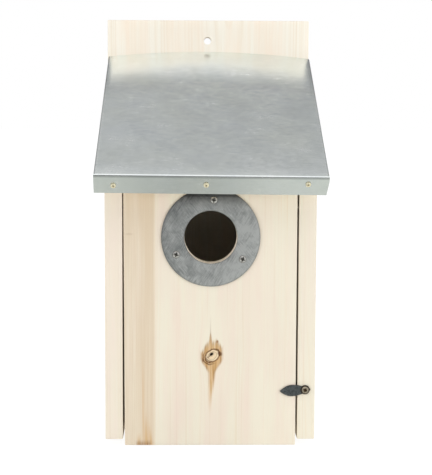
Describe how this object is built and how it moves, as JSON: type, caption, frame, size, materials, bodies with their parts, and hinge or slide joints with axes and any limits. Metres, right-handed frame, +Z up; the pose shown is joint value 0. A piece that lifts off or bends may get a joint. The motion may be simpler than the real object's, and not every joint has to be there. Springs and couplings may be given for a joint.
{
  "type": "nesting box",
  "caption": "Wooden nesting box with a sloping sheet-metal roof, a round entrance in a metal plate, a hinged front held by a turn button, and a tall back board with a hanging hole.",
  "frame": {"origin": "on the flat rear face of the back board, on its centre line, 150 mm above the lower edge of the side boards", "axes": "+X to the viewer's right when facing the front, +Y from the box into the wall, +Z up"},
  "size_m": [0.1949, 0.2123, 0.3738],
  "materials": {
    "pine": "raw planed pine, matt, very pale",
    "front_pine": "raw planed pine with a darker strip on its left edge and one knot, matt",
    "galvanised_sheet": "galvanised steel sheet, satin, softly mottled",
    "brushed_plate": "steel plate, brushed across, fine diagonal scratches",
    "dark_pewter": "dark bronzed pressed metal, edges worn brown",
    "steel_screw": "bright zinc plated",
    "plate_screw": "zinc plated, satin",
    "yellow_screw": "yellow passivated zinc",
    "button_screw": "dull bronzed, with a dark recess"
  },
  "bodies": {
    "box": {"back_board": "pine", "left_side_board": "pine", "right_side_board": "pine", "floor_board": "pine", "roof_board": "pine", "roof_sheet": "galvanised_sheet", "back_screw_1": "steel_screw", "back_screw_2": "steel_screw", "back_screw_3": "steel_screw", "back_screw_4": "steel_screw", "back_screw_5": "steel_screw", "back_screw_6": "steel_screw", "floor_screw_1": "steel_screw", "floor_screw_2": "steel_screw", "floor_screw_3": "steel_screw", "floor_screw_4": "steel_screw", "roof_screw_1": "steel_screw", "roof_screw_2": "steel_screw", "roof_screw_3": "steel_screw", "roof_screw_4": "steel_screw", "pivot_screw_left": "steel_screw", "pivot_screw_right": "steel_screw", "lip_screw_1": "yellow_screw", "lip_screw_2": "yellow_screw", "lip_screw_3": "yellow_screw", "turn_button_screw": "button_screw"},
    "front": {"front_panel": "front_pine", "entrance_plate": "brushed_plate", "entrance_plate_screw_1": "plate_screw", "entrance_plate_screw_2": "plate_screw", "entrance_plate_screw_3": "plate_screw"},
    "button": {"turn_button": "dark_pewter"}
  },
  "joints": [
    {"name": "front_hinge", "type": "hinge", "parent": "box", "child": "front", "pos_m": [0, -0.1725, 0.05], "axis": [-1, 0, 0], "range_deg": [0, 95]},
    {"name": "button_turn", "type": "hinge", "parent": "box", "child": "button", "pos_m": [0.0815, -0.1809, -0.1065], "axis": [0, 1, 0], "continuous": true}
  ]
}
